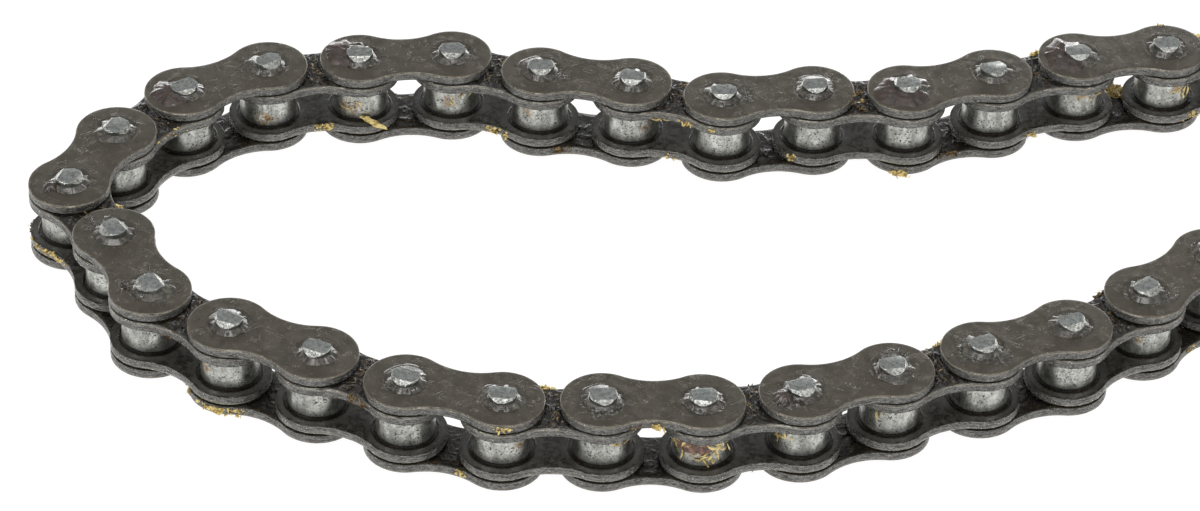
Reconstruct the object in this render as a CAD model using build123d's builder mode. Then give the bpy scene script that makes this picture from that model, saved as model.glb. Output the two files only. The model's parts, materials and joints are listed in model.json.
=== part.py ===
"""Roller chain: 29 links of 1/2 inch pitch, 3/16 inch wide, laid on its side in a hairpin.

The chain rests on the lower ends of its pins, with every pin axis upright. It is a run of
roller (inner) links and pin (outer) links in turn, and it begins and ends with a roller link,
as chain from a roll does. Each link node holds four solids: two plates with two bushes or two
pins pressed into them. Each roller is free on its bush and is a node of its own.
"""
from build123d import *
from math import atan2, cos, degrees, radians, sin
import os

# Driving dimensions, in millimetres: a 1/2 x 3/16 inch chain
pitch = 12.7
inner_width = 4.98
plate_thickness = 1.35
lobe_radius = 5.45
waist_half_width = 3.98
plate_chamfer = 0.15
roller_radius = 3.875
roller_corner = 0.3
pin_radius = 1.83
pin_end_beyond_plate = 1.05
stake_strip_width = 2.4
stake_fall = 0.6

# Running clearances, in millimetres
side_gap = 0.22
bush_beyond_plate = 0.05
pin_in_bush = 0.05
bush_in_roller = 0.08
bush_wall = 0.77
roller_side_gap = 0.1

# The lay: the way each link points, in degrees about +Z, from one end of the chain to the other.
# The hairpin's far side runs towards -X, turns back at the fifteenth link and runs towards +X.
link_headings = [
    195, 192, 201, 200, 184, 190, 168, 172, 166, 187, 191, 211, 229, 246,
    303,
    297, 328, 336, 336, 347, 362, 362, 372, 383, 383, 384, 397, 402, 404,
]

# Heights from the chain's mid-plane, and the radii that follow
inner_plate_face = inner_width / 2
inner_plate_back = inner_plate_face + plate_thickness
outer_plate_face = inner_plate_back + side_gap
outer_plate_back = outer_plate_face + plate_thickness
pin_length = 2 * (outer_plate_back + pin_end_beyond_plate)
bush_length = 2 * (inner_plate_back + bush_beyond_plate)
roller_length = inner_width - 2 * roller_side_gap
bush_bore_radius = pin_radius + pin_in_bush
bush_radius = bush_bore_radius + bush_wall
roller_bore_radius = bush_radius + bush_in_roller
stake_cutter_edge = pin_radius + 1

# A plate's waist is an arc tangent to both lobes, centred beside the middle of the plate
waist_radius = ((pitch / 2) ** 2 + waist_half_width**2 - lobe_radius**2) / (
    2 * (lobe_radius - waist_half_width)
)
waist_centre = waist_half_width + waist_radius
tangent_angle = degrees(atan2(waist_centre, pitch / 2))


def make_plate(hole_radius):
    """One figure-eight plate from z = 0 up, its holes at x = 0 and x = pitch, its top edge broken."""
    with BuildPart() as plate:
        with BuildSketch():
            with BuildLine():
                CenterArc((0, 0), lobe_radius, tangent_angle, 360 - 2 * tangent_angle)
                CenterArc((pitch, 0), lobe_radius, tangent_angle - 180, 360 - 2 * tangent_angle)
                CenterArc((pitch / 2, waist_centre), waist_radius, 180 + tangent_angle,
                          180 - 2 * tangent_angle)
                CenterArc((pitch / 2, -waist_centre), waist_radius, tangent_angle,
                          180 - 2 * tangent_angle)
            make_face()
        extrude(amount=plate_thickness)
        rim = plate.faces().sort_by(Axis.Z)[-1].edges()
        chamfer(rim, plate_chamfer)
        with Locations((0, 0, plate_thickness), (pitch, 0, plate_thickness)):
            Hole(hole_radius)
    return plate.part


# Both kinds of plate have the same outline, and their broken edges face away from the rollers
outer_plate = make_plate(pin_radius)
inner_plate = make_plate(bush_radius)

# Pin: plain, with both ends staked by two sloping flats that leave a strip in line with the link
with BuildPart() as pin:
    Cylinder(pin_radius, pin_length)
    with BuildSketch(Plane.YZ):
        with BuildLine():
            Polyline(
                (stake_strip_width / 2, pin_length / 2),
                (pin_radius, pin_length / 2 - stake_fall),
                (stake_cutter_edge, pin_length / 2 - stake_fall),
                (stake_cutter_edge, pin_length / 2),
                close=True,
            )
        make_face()
        mirror(about=Plane.YZ)
        mirror(about=Plane.XZ)
    extrude(amount=stake_cutter_edge, both=True, mode=Mode.SUBTRACT)

# Bush: the tube that is pressed into both inner plates and turns on the pin
with BuildPart() as bush:
    Cylinder(bush_radius, bush_length)
    Cylinder(bush_bore_radius, bush_length, mode=Mode.SUBTRACT)

# Roller: a short tube, free on the bush, with rounded outer corners
with BuildPart() as roller:
    Cylinder(roller_radius, roller_length)
    fillet(roller.edges().filter_by(GeomType.CIRCLE), roller_corner)
    Cylinder(roller_bore_radius, roller_length, mode=Mode.SUBTRACT)

# Pin axes: a walk of one pitch along each heading, then shifted so that the chain's box
# has its bottom centre at the origin
axis_points = [(0.0, 0.0)]
for heading in link_headings:
    last_x, last_y = axis_points[-1]
    step = (pitch * cos(radians(heading)), pitch * sin(radians(heading)))
    axis_points.append((last_x + step[0], last_y + step[1]))
all_x = [point[0] for point in axis_points]
all_y = [point[1] for point in axis_points]
centre_x = (min(all_x) + max(all_x)) / 2
centre_y = (min(all_y) + max(all_y)) / 2
axis_points = [(x - centre_x, y - centre_y) for x, y in axis_points]
mid_height = pin_length / 2


def link_location(index):
    """Where a link's own frame stands: at its first axis, at mid-height, along its heading."""
    x, y = axis_points[index]
    return Location((x, y, mid_height), (0, 0, link_headings[index]))


def link_solids(index, plate, face_height, post, post_name):
    """A link's four solids: two plates that face each other, and a post at each axis."""
    place = link_location(index)
    solids = {
        "upper_plate": plate.moved(place * Location((0, 0, face_height))),
        "lower_plate": plate.moved(place * Location((pitch, 0, -face_height), (0, 180, 0))),
        f"{post_name}_a": post.moved(place),
        f"{post_name}_b": post.moved(place * Location((pitch, 0, 0))),
    }
    for label, solid in solids.items():
        solid.label = label
    return list(solids.values())


os.makedirs("parts", exist_ok=True)

# Links at even places are roller links, and those at odd places are pin links
for index in range(len(link_headings)):
    if index % 2 == 0:
        name = f"inner_link_{index // 2 + 1:02d}"
        solids = link_solids(index, inner_plate, inner_plate_face, bush.part, "bush")
    else:
        name = f"outer_link_{index // 2 + 1:02d}"
        solids = link_solids(index, outer_plate, outer_plate_face, pin.part, "pin")
    link = Compound(label=name, children=solids)
    export_step(link, f"parts/{name}.step")

# One roller on each bush: the axes at both ends of every roller link
for index, (x, y) in enumerate(axis_points):
    name = f"roller_{index + 1:02d}"
    free_roller = roller.part.moved(Location((x, y, mid_height)))
    free_roller.label = name
    export_step(free_roller, f"parts/{name}.step")
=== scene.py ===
"""Looks for the roller chain: detailed links, pins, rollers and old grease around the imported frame.

Lengths inside this script are millimetres until a mesh is made. A link's own axes are x along the
link from its first pin axis, y across it and z up from the chain's mid-plane.
"""

import json
import math

import bmesh
import bpy
import numpy as np
from mathutils import Matrix, Vector
from mathutils.geometry import delaunay_2d_cdt

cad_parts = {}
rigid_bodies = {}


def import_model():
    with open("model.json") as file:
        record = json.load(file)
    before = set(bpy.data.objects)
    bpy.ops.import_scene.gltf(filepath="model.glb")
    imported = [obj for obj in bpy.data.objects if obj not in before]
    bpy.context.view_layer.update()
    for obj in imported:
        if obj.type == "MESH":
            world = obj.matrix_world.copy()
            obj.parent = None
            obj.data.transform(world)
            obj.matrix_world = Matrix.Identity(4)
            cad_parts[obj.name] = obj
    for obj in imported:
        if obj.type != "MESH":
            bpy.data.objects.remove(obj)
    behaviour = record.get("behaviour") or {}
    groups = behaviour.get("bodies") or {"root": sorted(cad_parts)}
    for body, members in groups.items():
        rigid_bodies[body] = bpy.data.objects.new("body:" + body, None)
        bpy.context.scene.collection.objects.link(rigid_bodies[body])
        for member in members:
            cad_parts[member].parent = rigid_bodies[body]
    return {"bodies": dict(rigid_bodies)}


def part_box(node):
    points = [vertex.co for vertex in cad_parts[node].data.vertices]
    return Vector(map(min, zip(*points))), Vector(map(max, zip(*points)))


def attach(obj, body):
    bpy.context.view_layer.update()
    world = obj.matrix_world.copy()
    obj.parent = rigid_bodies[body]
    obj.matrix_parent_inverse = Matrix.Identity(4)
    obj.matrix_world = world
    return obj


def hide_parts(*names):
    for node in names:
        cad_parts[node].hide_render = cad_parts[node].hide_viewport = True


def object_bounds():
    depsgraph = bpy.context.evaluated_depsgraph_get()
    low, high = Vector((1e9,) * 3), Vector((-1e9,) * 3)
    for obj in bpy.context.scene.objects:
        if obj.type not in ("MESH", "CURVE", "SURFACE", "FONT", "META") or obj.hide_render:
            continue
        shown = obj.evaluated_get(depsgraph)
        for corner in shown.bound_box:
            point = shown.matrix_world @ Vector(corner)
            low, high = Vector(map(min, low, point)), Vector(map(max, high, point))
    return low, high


MM = 0.001
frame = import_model()
cad_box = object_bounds()

# ---------------------------------------------------------------- sizes, as the CAD has them

LINK_COUNT = sum("_link_" in name for name in frame["bodies"])
ROLLER_COUNT = LINK_COUNT + 1


def link_name(index):
    """The body and node of a link, counted from 0 at the chain's first end."""
    kind = "inner_link" if index % 2 == 0 else "outer_link"
    return f"{kind}_{index // 2 + 1:02d}"


def roller_name(index):
    return f"roller_{index + 1:02d}"


def axis_point(index):
    """Where a pin axis crosses the chain's mid-plane."""
    low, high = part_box(roller_name(index))
    return np.array((low + high) / 2) / MM


AXES = [axis_point(index) for index in range(ROLLER_COUNT)]
PITCH = float(np.linalg.norm(AXES[1] - AXES[0]))
MID_HEIGHT = float(AXES[0][2])
ROLLER_SIZE = (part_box("roller_01")[1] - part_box("roller_01")[0]) / MM
ROLLER_RADIUS = ROLLER_SIZE[0] / 2
ROLLER_HALF = ROLLER_SIZE[2] / 2
PIN_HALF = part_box("outer_link_01")[1][2] / MM - MID_HEIGHT
BUSH_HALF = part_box("inner_link_01")[1][2] / MM - MID_HEIGHT

LOBE_RADIUS = 5.45
WAIST_HALF_WIDTH = 3.98
PLATE_THICKNESS = 1.35
PIN_PROUD = 1.05
PIN_RADIUS = 1.83
BUSH_RADIUS = 2.65
BUSH_BORE = 1.88
BUSH_PROUD = 0.05
ROLLER_BORE = 2.73
INNER_FACE = BUSH_HALF - BUSH_PROUD - PLATE_THICKNESS
INNER_BACK = INNER_FACE + PLATE_THICKNESS
OUTER_FACE = PIN_HALF - PIN_PROUD - PLATE_THICKNESS
OUTER_BACK = OUTER_FACE + PLATE_THICKNESS

WAIST_RADIUS = ((PITCH / 2) ** 2 + WAIST_HALF_WIDTH**2 - LOBE_RADIUS**2) / (
    2 * (LOBE_RADIUS - WAIST_HALF_WIDTH)
)
WAIST_CENTRE = WAIST_HALF_WIDTH + WAIST_RADIUS
TANGENT_ANGLE = math.atan2(WAIST_CENTRE, PITCH / 2)

# Where each kind of piece starts to count its random seeds
PLATE_SEED = 1000
PIN_SEED = 2000
WEB_SEED = 3000
ROLLER_SEED = 4000
PIN_RING_SEED = 5000
FOOT_RING_SEED = 7000
CURLS_SEED = 7900
POOL_SEED = 8000
SMEAR_SEED = 77
SPLINTER_SEED = 8801
CRUMBS_SEED = 9000
FLECKS_SEED = 9700


# ---------------------------------------------------------------- small tools

WAVES = 14      # how many waves each octave of a random field adds up
OCTAVES = 3


def field(points, size, seed):
    """A smooth random field of about -1 to 1 at each point, whose lumps are about size across."""
    rng = np.random.default_rng(seed)
    total = np.zeros(len(points))
    weight = 1.0
    for _ in range(OCTAVES):
        waves = rng.normal(size=(WAVES, 3))
        waves /= np.linalg.norm(waves, axis=1)[:, None]
        waves *= 2 * np.pi / size * rng.uniform(0.55, 1.5, size=(WAVES, 1))
        phases = rng.uniform(0, 2 * np.pi, WAVES)
        total += weight * np.sin(points @ waves.T + phases).sum(axis=1) / math.sqrt(WAVES / 2)
        weight *= 0.55
        size *= 0.5
    return total / 1.7


def ridges(points, size, seed):
    """A random field of sharp crests with round hollows between them, from 0 to 1."""
    return np.clip(1 - 1.5 * np.abs(field(points, size, seed)), 0, 1)


def link_matrix(index):
    """A link's own axes in the frame, as rows, and where its first pin axis is."""
    start, end = AXES[index], AXES[index + 1]
    along = (end - start) / PITCH
    across = np.array([-along[1], along[0], 0.0])
    return np.array([along, across, [0.0, 0.0, 1.0]]), start


def to_frame(points, index):
    axes, start = link_matrix(index)
    return points @ axes + start


def turned_over(points):
    """Turns points half a turn about a link's length, to its underside."""
    return points * np.array([1.0, -1.0, -1.0])


def merged(shapes):
    """Several shapes, each of points and faces, as one."""
    points, faces, start = [], [], 0
    for shape_points, shape_faces in shapes:
        points.append(shape_points)
        faces += [tuple(v + start for v in face) for face in shape_faces]
        start += len(shape_points)
    return np.concatenate(points), faces


def piece(
    name, points, faces, body, slot, material, stands_for=None, sharp=35, marks=None, **layers
):
    """A finished piece from points in the frame, with float layers for its material to read.

    Marks are a layer with one value for each face. Edges sharper than sharp degrees stay crisp.
    """
    mesh = bpy.data.meshes.new(name)
    mesh.from_pydata((points * MM).tolist(), [], faces)
    for layer, values in layers.items():
        attribute = mesh.attributes.new(layer, "FLOAT", "POINT")
        attribute.data.foreach_set("value", np.asarray(values, np.float32))
    if marks is not None:
        attribute = mesh.attributes.new("facet", "FLOAT", "FACE")
        attribute.data.foreach_set("value", np.asarray(marks, np.float32))
    skin = bmesh.new()
    skin.from_mesh(mesh)
    bmesh.ops.recalc_face_normals(skin, faces=skin.faces)
    skin.to_mesh(mesh)
    skin.free()
    mesh.shade_smooth()
    mesh.set_sharp_from_angle(angle=math.radians(sharp))
    obj = bpy.data.objects.new(name, mesh)
    bpy.context.scene.collection.objects.link(obj)
    mesh.materials.append(material)
    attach(obj, body)
    if stands_for:
        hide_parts(stands_for)


def link_piece(suffix, shapes, index, slot, material, **settings):
    """A piece that rides on a link and is named after it, from shapes in the link's own axes."""
    points, faces = merged(shapes)
    link = link_name(index)
    piece(f"{link}_{suffix}", to_frame(points, index), faces, link, slot, material, **settings)


def band(lower, upper):
    """Quads between two closed rings of vertex numbers."""
    count = len(lower)
    following = [(i + 1) % count for i in range(count)]
    return [(lower[i], lower[j], upper[j], upper[i]) for i, j in enumerate(following)]


def circle(count):
    """Even angles round an axis, and the points of a circle of radius 1 at them."""
    angles = np.linspace(0, 2 * np.pi, count, endpoint=False)
    return angles, np.stack([np.cos(angles), np.sin(angles), np.zeros(count)], axis=1)


def grid(x, y, z):
    """A grid of points from rows and columns of coordinates."""
    return np.stack(np.broadcast_arrays(x, y, z), axis=2)


def grid_faces(rows, columns, closed=False):
    """Quads between neighbours in a grid of points. A closed grid also joins its last column."""
    faces = []
    for r in range(rows - 1):
        for c in range(columns if closed else columns - 1):
            a, b = r * columns + c, r * columns + (c + 1) % columns
            faces.append((a, b, b + columns, a + columns))
    return faces


def grid_rim(rows, columns):
    """The vertex numbers round an open grid, in order."""
    right = [r * columns + columns - 1 for r in range(1, rows - 1)]
    left = [r * columns for r in range(rows - 2, 0, -1)]
    last_row = [(rows - 1) * columns + c for c in range(columns)]
    return list(range(columns)) + right + last_row[::-1] + left


def ball(subdivisions):
    """The points and triangles of a ball of radius 1."""
    skin = bmesh.new()
    bmesh.ops.create_icosphere(skin, subdivisions=subdivisions, radius=1.0)
    points = np.array([v.co[:] for v in skin.verts])
    faces = [tuple(v.index for v in f.verts) for f in skin.faces]
    skin.free()
    return points, faces


def tube(profile, count, centre):
    """A closed ring: a closed profile of (radius, height) turned about an upright axis."""
    angles, _ = circle(count)
    points = [
        (centre[0] + r * math.cos(a), centre[1] + r * math.sin(a), centre[2] + z)
        for r, z in profile
        for a in angles
    ]
    rings = [list(range(k * count, (k + 1) * count)) for k in range(len(profile))]
    faces = []
    for k in range(len(profile)):
        faces += band(rings[k], rings[(k + 1) % len(profile)])
    return np.array(points), faces


BURIED = 0.04    # how far the rim of a patch of grease is sunk into what it lies on


def lying(top, closed):
    """A closed shape from a grid of top points. Its rim is sunk into what it lies on.

    A closed grid runs round an axis and leaves a hole in its middle. An open one is a patch.
    """
    rows, columns = top.shape[:2]
    points = top.reshape(-1, 3)
    faces = grid_faces(rows, columns, closed)
    if closed:
        loops = [list(range(first, first + columns)) for first in (0, (rows - 1) * columns)]
    else:
        loops = [grid_rim(rows, columns)]
    sunk = []
    for loop in loops:
        start = len(points)
        lowered = points[loop].copy()
        lowered[:, 2] -= BURIED
        points = np.concatenate([points, lowered])
        sunk.append(list(range(start, start + len(loop))))
        faces += band(loop, sunk[-1])
    faces += band(sunk[0], sunk[1]) if closed else [tuple(sunk[0])]
    return points, faces


# ---------------------------------------------------------------- materials


class Shader:
    """A short way to write a material's nodes. Coordinates are the piece's own, in millimetres."""

    def __init__(self, name):
        self.material = bpy.data.materials.new(name)
        self.material.use_nodes = True
        self.tree = self.material.node_tree
        self.tree.nodes.clear()
        output = self.tree.nodes.new("ShaderNodeOutputMaterial")
        self.surface = self.tree.nodes.new("ShaderNodeBsdfPrincipled")
        self.tree.links.new(self.surface.outputs[0], output.inputs["Surface"])
        self.place = self.tree.nodes.new("ShaderNodeTexCoord").outputs["Object"]

    def feed(self, socket, value):
        if isinstance(value, bpy.types.NodeSocket):
            self.tree.links.new(value, socket)
        else:
            socket.default_value = value

    def node(self, kind, settings=(), **inputs):
        """A node with its settings and inputs. An input that is a socket is linked."""
        made = self.tree.nodes.new("ShaderNode" + kind)
        for key, value in dict(settings).items():
            setattr(made, key, value)
        for key, value in inputs.items():
            self.feed(made.inputs[key.replace("_", " ")], value)
        return made

    def mapped(self, scale=(1, 1, 1), turn=0.0):
        """The piece's coordinates in millimetres, turned about Z and stretched."""
        turned = self.node("Mapping", Vector=self.place, Rotation=(0, 0, math.radians(turn)))
        stretch = [each / MM for each in scale]
        return self.node("Mapping", Vector=turned.outputs[0], Scale=stretch).outputs[0]

    def noise(self, scale, detail=4.0, rough=0.55, where=None, distortion=0.0):
        vector = self.mapped() if where is None else where
        settings = {"Scale": scale, "Detail": detail, "Roughness": rough, "Distortion": distortion}
        return self.node("TexNoise", Vector=vector, **settings).outputs["Fac"]

    def spots(self, low, high, scale, **settings):
        """Soft spots of noise: 0 where the noise is at or under low, and 1 from high up."""
        return self.between(self.noise(scale, **settings), low, high)

    def layer(self, name):
        return self.node("Attribute", {"attribute_name": name}).outputs["Fac"]

    def math(self, operation, a, b=0.0, clamp=False):
        made = self.tree.nodes.new("ShaderNodeMath")
        made.operation = operation
        made.use_clamp = clamp
        self.feed(made.inputs[0], a)
        self.feed(made.inputs[1], b)
        return made.outputs[0]

    def times(self, a, b):
        return self.math("MULTIPLY", a, b)

    def between(self, value, low, high, out_low=0.0, out_high=1.0):
        """A value brought from low..high to out_low..out_high, held at both ends."""
        made = self.tree.nodes.new("ShaderNodeMapRange")
        made.interpolation_type = "SMOOTHSTEP"
        self.feed(made.inputs["Value"], value)
        keys = ("From Min", "From Max", "To Min", "To Max")
        for key, number in zip(keys, (low, high, out_low, out_high)):
            made.inputs[key].default_value = number
        return made.outputs["Result"]

    def blend(self, share, a, b):
        """Colour a where share is 0, and b where it is 1."""
        made = self.tree.nodes.new("ShaderNodeMix")
        made.data_type = "RGBA"
        self.feed(made.inputs[0], share)
        self.feed(made.inputs[6], a)
        self.feed(made.inputs[7], b)
        return made.outputs[2]

    def over(self, share, amount, base, top):
        """Lays one colour over another where share is 1, as thickly as the amount says."""
        return self.blend(self.times(share, amount), base, top)

    def bump(self, height, distance, under=None):
        """Fine relief: distance is how much higher 1 stands than 0, in millimetres."""
        made = self.tree.nodes.new("ShaderNodeBump")
        made.inputs["Distance"].default_value = distance * MM
        self.feed(made.inputs["Height"], height)
        if under is not None:
            self.feed(made.inputs["Normal"], under)
        return made.outputs[0]

    def finish(self, **inputs):
        for key, value in inputs.items():
            self.feed(self.surface.inputs[key.replace("_", " ")], value)
        return self.material


def colour(red, green, blue):
    """A linear colour from the 0 to 255 numbers that a colour picker shows."""
    shown = [number / 255 for number in (red, green, blue)]
    linear = [c / 12.92 if c <= 0.04 else ((c + 0.055) / 1.055) ** 2.4 for c in shown]
    return (*linear, 1.0)


def strokes(s, turn, share, scale=1.0):
    """Long thin scratches that run one way, as 0 to 1. A larger share marks more of the surface."""
    along = s.mapped(scale=(0.16 * scale, 2.2 * scale, 1.0), turn=turn)
    lines = s.math("ABSOLUTE", s.math("SUBTRACT", s.noise(1.0, detail=0.0, where=along), 0.5))
    patches = s.noise(0.6, detail=3.0, where=s.mapped(turn=turn + 40))
    return s.times(s.between(lines, 0.030, 0.008), s.between(patches, 0.60 - share, 0.68 - share))


def plate_material(name, face_a, face_b, gloss, grime_colour, marked):
    """Oxidised plate steel: marked faces, a worn rim with a painted highlight, and a sheared edge in
    two bands.
    """
    s = Shader(name)
    side = s.layer("side")
    rim = s.layer("rim")
    torn = s.layer("torn")
    grime = s.layer("grime")
    face = s.blend(s.spots(0.36, 0.66, 0.45, detail=6, rough=0.6), face_a, face_b)
    aslant = s.mapped(scale=(0.45, 1.5, 1.0), turn=35)
    swirl = s.noise(1.1, detail=5, rough=0.62, where=aslant, distortion=1.2)
    face = s.over(s.between(swirl, 0.52, 0.64), 0.05 * marked, face, colour(108, 102, 90))
    marks = s.math("MAXIMUM", strokes(s, 24, 0.04), strokes(s, -38, 0.05, 1.4))
    marks = s.math("MAXIMUM", marks, strokes(s, 81, 0.04, 0.8))
    face = s.over(marks, 0.30 * marked, face, colour(142, 137, 125))
    specks = s.spots(0.66, 0.72, 3.4, detail=2, rough=0.6)
    face = s.over(specks, 0.6 * marked, face, colour(150, 145, 134))
    smear = s.times(grime, s.spots(0.34, 0.62, 1.4, detail=5, rough=0.65))
    face = s.blend(smear, face, grime_colour)

    grains = s.noise(3.2, detail=4, rough=0.72, where=s.mapped(scale=(1.0, 1.0, 1.6)))
    streaks = s.noise(1.8, detail=4, rough=0.6, where=s.mapped(scale=(0.5, 0.5, 4.0)))
    edge = s.blend(s.between(streaks, 0.36, 0.62), colour(82, 81, 78), colour(136, 135, 131))
    edge = s.over(s.between(grains, 0.55, 0.64), 0.45, edge, colour(200, 198, 191))
    pits = s.times(s.between(grains, 0.44, 0.37), s.between(torn, 0.1, 0.9, 0.55, 1.0))
    edge = s.over(pits, 0.8, edge, colour(44, 40, 33))
    base = s.blend(side, face, edge)
    # The rim is painted lighter: partly real wear, partly a painted highlight along the edge.
    worn = s.times(rim, s.spots(0.28, 0.58, 1.1, detail=4))
    base = s.over(worn, 0.6, base, colour(172, 165, 150))

    rough = s.between(s.noise(0.9, detail=4), 0.3, 0.7, gloss - 0.06, gloss + 0.08)
    rough = s.math("SUBTRACT", rough, s.times(s.math("MAXIMUM", marks, worn), 0.12))
    rough = s.math("SUBTRACT", rough, s.times(grime, 0.16), clamp=True)
    metal = s.math("ADD", 0.45, s.times(s.math("MAXIMUM", side, worn), 0.4), clamp=True)
    metal = s.math("SUBTRACT", metal, s.times(smear, 0.4), clamp=True)
    relief = s.bump(s.noise(5.0, detail=5, rough=0.65), 0.006 + 0.018 * marked)
    relief = s.bump(s.times(s.math("ADD", grains, streaks), side), 0.16, under=relief)
    relief = s.bump(s.math("SUBTRACT", 1.0, marks), 0.012 * marked, under=relief)
    film = s.times(s.noise(2.4, detail=5, rough=0.65), grime)
    relief = s.bump(film, 0.02 + 0.10 * marked, under=relief)
    return s.finish(Base_Color=base, Metallic=metal, Roughness=rough, Normal=relief)


def roller_material():
    """Bright turned steel, mottled, small dark pits, brown stains, painted shade at both ends."""
    s = Shader("roller_steel")
    upright = s.mapped(scale=(1.0, 1.0, 0.5))
    cloud = s.spots(0.32, 0.68, 0.8, detail=5, rough=0.6, where=upright)
    base = s.blend(cloud, colour(152, 153, 147), colour(212, 213, 206))
    mottle = s.spots(0.46, 0.64, 2.6, detail=4, rough=0.7)
    base = s.over(mottle, 0.55, base, colour(112, 112, 106))
    pits = s.spots(0.57, 0.63, 4.0, detail=3, rough=0.6)
    pits = s.times(pits, s.spots(0.34, 0.54, 0.55, detail=2))
    base = s.over(pits, 0.92, base, colour(50, 47, 42))
    stain = s.times(s.layer("stain"), s.spots(0.40, 0.58, 1.5, detail=5, rough=0.65))
    tone = s.spots(0.42, 0.58, 2.4, detail=3)
    base = s.blend(stain, base, s.blend(tone, colour(92, 70, 40), colour(176, 138, 76)))
    # Painted shade: the roller is darkened near both ends, where it sits between the plates.
    dirt_and_shade = s.times(s.layer("foot"), s.spots(0.20, 0.50, 1.6, detail=4))
    base = s.over(dirt_and_shade, 0.9, base, colour(44, 41, 37))
    rough = s.between(s.noise(1.4, detail=4), 0.3, 0.7, 0.28, 0.42)
    rough = s.math("ADD", rough, s.times(pits, 0.25), clamp=True)
    metal = s.math("SUBTRACT", 1.0, s.times(s.math("MAXIMUM", dirt_and_shade, stain), 0.7), clamp=True)
    fine = s.bump(s.noise(8.0, detail=3), 0.008)
    deep = s.bump(s.math("SUBTRACT", 1.0, pits), 0.03, under=fine)
    return s.finish(Base_Color=base, Metallic=metal, Roughness=rough, Normal=deep)


def pin_material():
    """Blue-grey pin ends, rough and lighter where the staking tool pressed them; the lightness is
    partly a painted highlight.
    """
    s = Shader("pin_steel")
    facet = s.layer("facet")
    cloud = s.spots(0.35, 0.65, 1.8, detail=4)
    flat = s.blend(cloud, colour(134, 138, 136), colour(166, 170, 167))
    specks = s.spots(0.58, 0.70, 7.0, detail=3, rough=0.7)
    flat = s.over(specks, 0.5, flat, colour(112, 110, 104))
    # Staked faces are painted lighter than the flat end: partly crushed metal, partly a painted
    # highlight.
    crushed = s.spots(0.36, 0.62, 2.8, detail=4, rough=0.7)
    staked = s.blend(crushed, colour(120, 120, 114), colour(198, 199, 194))
    base = s.blend(facet, flat, staked)
    dirt_and_shade = s.times(s.layer("low"), s.spots(0.25, 0.55, 2.4, detail=4))
    base = s.blend(dirt_and_shade, base, colour(50, 45, 38))
    rough = s.between(s.noise(2.5, detail=3), 0.3, 0.7, 0.26, 0.40)
    metal = s.math("SUBTRACT", 1.0, s.times(dirt_and_shade, 0.6))
    dents = s.bump(s.times(s.noise(3.4, detail=4, rough=0.65), facet), 0.06)
    relief = s.bump(s.noise(6.0, detail=4, rough=0.6), 0.010, under=dents)
    return s.finish(Base_Color=base, Metallic=metal, Roughness=rough, Normal=relief)


def grease_material(name, dark, light, share, rough_low, rough_high, relief=0.06, wet=0.0):
    """Old grease, dark and wet or dried and light. A larger share makes more of it light."""
    s = Shader(name)
    crusted = s.spots(0.62 - share, 0.78 - share, 1.5, detail=5, rough=0.65)
    base = s.blend(crusted, dark, light)
    rough = s.between(s.noise(2.6, detail=4), 0.3, 0.7, rough_low, rough_high)
    lumps = s.bump(s.noise(4.2, detail=5, rough=0.6, distortion=0.6), relief)
    s.surface.inputs["Specular IOR Level"].default_value = 0.42 + 0.7 * wet
    s.surface.inputs["Coat Weight"].default_value = wet
    s.surface.inputs["Coat Roughness"].default_value = 0.12
    return s.finish(Base_Color=base, Roughness=rough, Normal=lumps)


def oil_material():
    """A wet pool of red-brown oil."""
    s = Shader("wet_oil")
    cloud = s.spots(0.36, 0.62, 0.9, detail=5, rough=0.6)
    base = s.blend(cloud, colour(34, 28, 24), colour(62, 46, 38))
    crust = s.spots(0.60, 0.68, 3.0, detail=4, rough=0.7)
    base = s.over(crust, 0.7, base, colour(140, 104, 62))
    rough = s.between(s.noise(1.2, detail=4), 0.40, 0.66, 0.14, 0.32)
    ripples = s.bump(s.noise(1.4, detail=4, rough=0.6, distortion=0.5), 0.03)
    s.surface.inputs["Specular IOR Level"].default_value = 0.75
    return s.finish(Base_Color=base, Roughness=rough, Normal=ripples)


def floor_material():
    """A white light-table top, bright enough that shadows on it stay faint."""
    s = Shader("floor_white")
    cloud = s.spots(0.3, 0.7, 0.02, detail=2)
    base = s.blend(cloud, (0.14, 0.14, 0.14, 1), (0.16, 0.16, 0.16, 1))
    s.surface.inputs["Emission Color"].default_value = (1, 1, 1, 1)
    s.surface.inputs["Emission Strength"].default_value = 0.97
    s.surface.inputs["Specular IOR Level"].default_value = 0.0
    return s.finish(Base_Color=base, Roughness=0.9)


OUTER_STEEL = plate_material(
    "outer_plate_steel", colour(74, 69, 60), colour(85, 80, 70),
    gloss=0.34, grime_colour=colour(42, 35, 27), marked=1.0,
)
INNER_STEEL = plate_material(
    "inner_plate_steel", colour(94, 93, 88), colour(105, 104, 99),
    gloss=0.27, grime_colour=colour(40, 36, 30), marked=0.15,
)
ROLLER_STEEL = roller_material()
PIN_STEEL = pin_material()
PLATE_GREASE = grease_material(
    "plate_grease", colour(46, 42, 34), colour(92, 87, 76),
    share=0.16, rough_low=0.16, rough_high=0.32, relief=0.02, wet=0.35,
)
WEB_GREASE = grease_material(
    "web_grease", colour(26, 23, 18), colour(78, 60, 38),
    share=0.08, rough_low=0.22, rough_high=0.42, relief=0.03, wet=0.08,
)
DRIED_GREASE = grease_material(
    "dried_grease", colour(158, 130, 62), colour(238, 216, 146),
    share=0.24, rough_low=0.25, rough_high=0.50,
)
BROWN_GREASE = grease_material(
    "brown_grease", colour(76, 61, 38), colour(150, 124, 80),
    share=0.18, rough_low=0.22, rough_high=0.45,
)
PINK_GREASE = grease_material(
    "pink_grease", colour(96, 72, 62), colour(150, 116, 98),
    share=0.20, rough_low=0.22, rough_high=0.42,
)
WET_OIL = oil_material()


# ---------------------------------------------------------------- plates

OUTLINE_POINTS = 180
HOLE_POINTS = 40
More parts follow.
